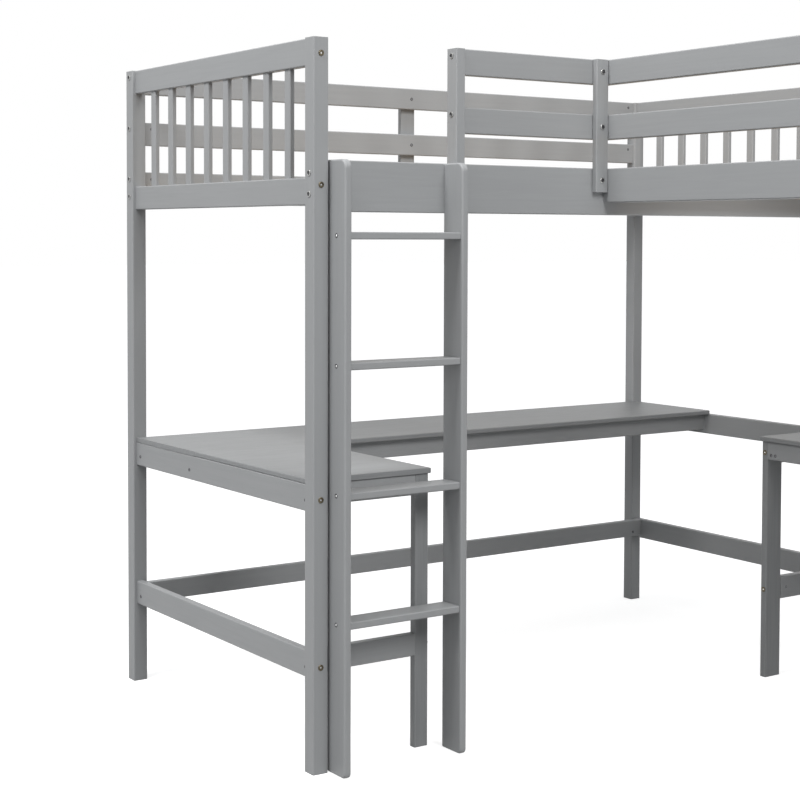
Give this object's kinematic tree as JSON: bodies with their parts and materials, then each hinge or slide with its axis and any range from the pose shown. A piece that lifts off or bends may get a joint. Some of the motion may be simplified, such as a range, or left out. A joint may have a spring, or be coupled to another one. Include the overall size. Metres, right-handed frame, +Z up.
{
  "type": "l-shaped loft bed",
  "caption": "L-shaped loft bed in painted pine: two raised slatted beds meeting in a corner, with guard rails, spindle ends, upright ladders and corner desks underneath.",
  "frame": {"origin": "middle of the footprint on the floor", "axes": "+Z up, bed one lies along X at the +Y side, bed two runs from it towards -Y at the +X side"},
  "size_m": [2.0144, 3.0326, 1.795],
  "materials": {
    "grey_paint": "satin grey paint over pine",
    "bare_pine": "planed bare pine",
    "yellow_zinc": "yellow zinc plate"
  },
  "bodies": {
    "root": {"back_bottom_rail": "grey_paint", "bed_one_back_guard_rails": "grey_paint", "bed_one_back_rail": "grey_paint", "bed_one_front_guard_rails": "grey_paint", "bed_one_front_rail": "grey_paint", "bed_one_slats": "bare_pine", "bed_two_left_guard_rails": "grey_paint", "bed_two_left_rail": "grey_paint", "bed_two_right_bottom_rail": "grey_paint", "bed_two_right_guard_rails": "grey_paint", "bed_two_right_rail": "grey_paint", "bed_two_slats": "bare_pine", "corner_post": "grey_paint", "desk_one_back_apron": "grey_paint", "desk_one_left_apron": "grey_paint", "desk_one_leg": "grey_paint", "desk_one_long_apron": "grey_paint", "desk_one_long_top": "grey_paint", "desk_one_wing_aprons": "grey_paint", "desk_one_wing_top": "grey_paint", "desk_two_leg": "grey_paint", "desk_two_long_apron": "grey_paint", "desk_two_long_top": "grey_paint", "desk_two_near_apron": "grey_paint", "desk_two_right_apron": "grey_paint", "desk_two_wing_aprons": "grey_paint", "desk_two_wing_leg": "grey_paint", "desk_two_wing_top": "grey_paint", "end_rail_bolts": "yellow_zinc", "guard_bolts": "yellow_zinc", "guard_post_one": "grey_paint", "guard_post_two": "grey_paint", "guard_supports": "grey_paint", "inner_post_studs": "yellow_zinc", "ladder_one_rungs": "grey_paint", "ladder_one_stringers": "grey_paint", "ladder_two_rungs": "grey_paint", "ladder_two_stringers": "grey_paint", "left_bottom_rail": "grey_paint", "left_end_lower_rail": "grey_paint", "left_end_spindles": "grey_paint", "left_end_top_rail": "grey_paint", "near_bottom_rail": "grey_paint", "near_end_lower_rail": "grey_paint", "near_end_spindles": "grey_paint", "near_end_top_rail": "grey_paint", "post_back_left": "grey_paint", "post_back_right": "grey_paint", "post_front_left": "grey_paint", "post_inner_right": "grey_paint", "post_near_left": "grey_paint", "post_near_right": "grey_paint", "right_bottom_rail": "grey_paint", "right_end_lower_rail": "grey_paint", "right_end_spindles": "grey_paint", "right_end_top_rail": "grey_paint", "right_wall_rail": "grey_paint", "short_bottom_rails": "grey_paint", "side_rail_bolts": "yellow_zinc", "slat_ledgers": "grey_paint"}
  },
  "joints": []
}
